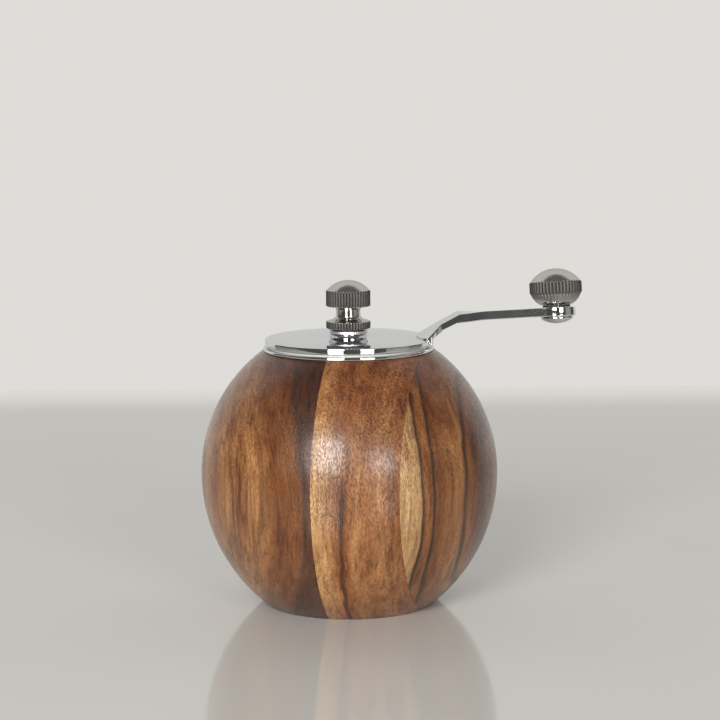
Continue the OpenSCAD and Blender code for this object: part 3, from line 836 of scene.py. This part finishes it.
def crank_arm():
    """The CAD arm's foot with rounded edges, a smoothly twisted outer bar, and a turned eye."""
    edge_round = 0.2
    sharp = math.radians(28)
    flat_area = 2.5
    bm = bmesh.new()
    bm.from_mesh(frame["nodes"]["crank_arm"].data)
    bmesh.ops.remove_doubles(bm, verts=bm.verts, dist=0.002 * MM)
    bmesh.ops.bisect_plane(bm, geom=bm.verts[:] + bm.edges[:] + bm.faces[:], dist=1e-7,
                           plane_co=(BEND_X * MM, 0, 0), plane_no=(1, 0, 0), clear_outer=True)
    bmesh.ops.dissolve_limit(bm, angle_limit=math.radians(1.0), verts=bm.verts, edges=bm.edges)
    edges = [e for e in bm.edges if len(e.link_faces) == 2 and e.calc_face_angle(0) > sharp]
    made = bmesh.ops.bevel(bm, geom=edges, offset=edge_round * MM, segments=3, profile=0.5,
                           affect="EDGES", clamp_overlap=True)
    bmesh.ops.edgeloop_fill(bm, edges=[e for e in bm.edges if e.is_boundary])
    bmesh.ops.recalc_face_normals(bm, faces=bm.faces)
    # the pressed flats stay flat; only the rounded edges and the curved cuts are smooth
    for face in bm.faces:
        face.smooth = face.calc_area() < flat_area * MM ** 2
    for face in made["faces"]:
        if face.is_valid:
            face.smooth = True
    outer = bmesh.new()
    outer_bar(outer)
    bmesh.ops.recalc_face_normals(outer, faces=outer.faces)
    eye = turned_mesh(rounded([(EYE_BORE, -ARM_T, 0.15), (EYE_R, -ARM_T, 0.25), (EYE_R, 0, 0.25),
                               (EYE_BORE, 0, 0.15)]), 128)
    eye.transform(EYE)
    for part in (outer, eye):
        for face in part.faces:
            face.smooth = True
        mesh = bpy.data.meshes.new("arm_part")
        part.to_mesh(mesh)
        part.free()
        bm.from_mesh(mesh)
        bpy.data.meshes.remove(mesh)
    finished(bm, "crank_arm_formed", "crank_arm", "crank_lid", chrome, shade=False)


crank_arm()


# ---------------------------------------------------------------- room, lights and camera

CAMERA_AT = Vector((-48.8, -698.3, 172.86)) * MM
HEADING = math.radians(4.0)
AIM_RIGHT = math.radians(0.28)
PITCH = math.radians(-8.03)
ROLL = 0.0067
LENS = 116.69

WALL_LIGHT = (0.73, 0.72, 0.69, 1)
DAYLIGHT = (1, 0.985, 0.96)
MILL_MIDDLE = Vector((0, 0, 0.05))


def table():
    """Pale table top whose back edge is painted paler and made to glow with wall light; the mill stands on
    it.
    """
    back, fade, front, side, thick = 430, 352, -300, 1500, 30
    edge_round = 4
    wide_face = 0.1
    # strength of the painted glow along the far edge
    painted_glow = 0.12
    bm = bmesh.new()
    bmesh.ops.create_cube(bm, size=1)
    for v in bm.verts:
        v.co.x *= 2 * side * MM
        v.co.y = (back if v.co.y > 0 else front) * MM
        v.co.z = 0 if v.co.z > 0 else -thick * MM
    bmesh.ops.bevel(bm, geom=[e for e in bm.edges], offset=edge_round * MM, segments=4, profile=0.5,
                    affect="EDGES")
    bm.transform(Matrix.Rotation(-HEADING, 4, "Z"))
    for face in bm.faces:
        face.smooth = face.calc_area() < wide_face
    g = Graph("pale_table")
    place = g.millimetres()
    cloud = g.noise(place, 0.006, 3)
    tone = g.ramp(cloud, [(0.3, (0.67, 0.662, 0.635)), (0.7, (0.71, 0.702, 0.675))])
    # painted light: towards the far edge the top is painted paler and glows with the wall's colour, standing
    # in for the bright wall behind it
    away = g.node("VectorMath", {0: place, 1: (math.sin(HEADING), math.cos(HEADING), 0)},
                  operation="DOT_PRODUCT").outputs["Value"]
    painted_wall_light = g.span(away, fade, back - 6, smooth=True)
    g.set(base_color=g.mix(painted_wall_light, tone, (0.90, 0.885, 0.85)),
          roughness=g.span(g.noise(place, 0.02, 3), 0.3, 0.7, 0.07, 0.11), ior=1.5,
          emission_color=WALL_LIGHT, emission_strength=g.math("MULTIPLY", painted_wall_light, painted_glow))
    piece = placed(bm, "table_top", g.material)


table()


def world():
    """The bright room and wall behind the mill."""
    made = bpy.data.worlds.new("studio")
    bpy.context.scene.world = made
    made.use_nodes = True
    background = made.node_tree.nodes["Background"]
    background.inputs["Color"].default_value = WALL_LIGHT
    background.inputs["Strength"].default_value = 1.0


world()


def seen_from_mill(azimuth, elevation, distance):
    """A place given by its direction from the mill; azimuth 0 is the camera's, to the right is +."""
    a = -math.pi / 2 - HEADING + math.radians(azimuth)
    e = math.radians(elevation)
    return Vector((math.cos(a) * math.cos(e), math.sin(a) * math.cos(e), math.sin(e))) * distance


def window(name, azimuth, elevation, width, height, power):
    """A soft light in a direction from the mill; its size is in metres and its power in watts."""
    away = 1.5
    data = bpy.data.lights.new(name, "AREA")
    data.shape = "RECTANGLE"
    data.size = width
    data.size_y = height
    data.energy = power
    data.color = DAYLIGHT
    lamp = bpy.data.objects.new(name, data)
    lamp.location = seen_from_mill(azimuth, elevation, away)
    lamp.rotation_mode = "QUATERNION"
    lamp.rotation_quaternion = (MILL_MIDDLE - lamp.location).to_track_quat("-Z", "Y")
    lamp.visible_camera = False
    bpy.context.scene.collection.objects.link(lamp)


window("left_window", -17.5, 23, 0.54, 0.62, 18)
window("right_window", 25.5, 17, 0.48, 0.42, 6)
# their lower panes are shaded: polished metal shows them, wood hardly does
window("left_pane", -17.5, -2.5, 0.56, 0.46, 1.4)
window("right_pane", 25.5, -2.5, 0.48, 0.46, 1.2)


def room_part(name, radius, material, inside):
    """The part of a ball around the mill where inside(azimuth, elevation) holds; cameras don't see it."""
    sides, rows, lowest, highest = 48, 34, -28, 90
    bm = bmesh.new()
    grid = {}

    def direction(i, j):
        return -180 + 360 * i / sides, lowest + (highest - lowest) * j / rows

    def corner(i, j):
        if (i, j) not in grid:
            grid[i, j] = bm.verts.new(seen_from_mill(*direction(i, j), radius))
        return grid[i, j]

    for i in range(sides):
        for j in range(rows):
            if inside(*direction(i + 0.5, j + 0.5)):
                bm.faces.new([corner(i, j), corner(i + 1, j), corner(i + 1, j + 1), corner(i, j + 1)])
    piece = placed(bm, name, material)
    piece.visible_camera = False


def dim(name, low, high):
    """A wall that glows faintly and unevenly, between two colours."""
    g = Graph(name)
    g.set(base_color=(0.02, 0.02, 0.02, 1), roughness=0.9, emission_strength=1.0,
          emission_color=g.ramp(g.noise(g.millimetres(), 0.003, 3), [(0.3, low), (0.7, high)]))
    return g.material


def dark_room():
    """The unlit side of the room, behind and above the camera, which gives the chrome its darks."""
    away, nearer = 1.9, 1.85
    wall_side, wall_top = 118, 35
    ceiling_side, ceiling_top = 108, 66
    patch_middle, patch_reach = math.radians(68), math.radians(42)

    def wall(azimuth, elevation):
        return abs(azimuth) < wall_side and elevation < wall_top

    def ceiling(azimuth, elevation):
        # a round patch high above the camera, and a band down to the wall
        e = math.radians(elevation)
        cosine = math.sin(e) * math.sin(patch_middle) + math.cos(e) * math.cos(patch_middle) * math.cos(
            math.radians(azimuth))
        band = abs(azimuth) < ceiling_side and elevation < ceiling_top
        return elevation >= wall_top and (band or cosine > math.cos(patch_reach))

    def low_right(azimuth, elevation):
        return 52 < azimuth < 90 and elevation < 28

    room_part("dark_wall", away, dim("unlit_wall", (0.040, 0.041, 0.043), (0.080, 0.080, 0.081)), wall)
    room_part("dim_ceiling", away, dim("unlit_ceiling", (0.085, 0.085, 0.083), (0.14, 0.14, 0.135)),
              ceiling)
    # a pale wall in half shade
    room_part("shaded_wall", nearer, dim("half_shade", (0.20, 0.22, 0.20), (0.32, 0.34, 0.32)), low_right)


dark_room()


def camera():
    """A long lens in front of the mill, which looks down at it by about eight degrees."""
    data = bpy.data.cameras.new("camera")
    data.sensor_width = 36
    data.lens = LENS
    data.clip_start = 0.05
    data.clip_end = 20
    made = bpy.data.objects.new("camera", data)
    heading = HEADING + AIM_RIGHT
    ahead = Vector((math.sin(heading) * math.cos(PITCH), math.cos(heading) * math.cos(PITCH),
                    math.sin(PITCH)))
    made.location = CAMERA_AT
    made.rotation_mode = "QUATERNION"
    level = ahead.to_track_quat("-Z", "Y")
    made.rotation_quaternion = level @ Matrix.Rotation(-ROLL, 3, "Z").to_quaternion()
    bpy.context.scene.collection.objects.link(made)
    bpy.context.scene.camera = made


camera()
bpy.context.scene.view_settings.view_transform = "Standard"
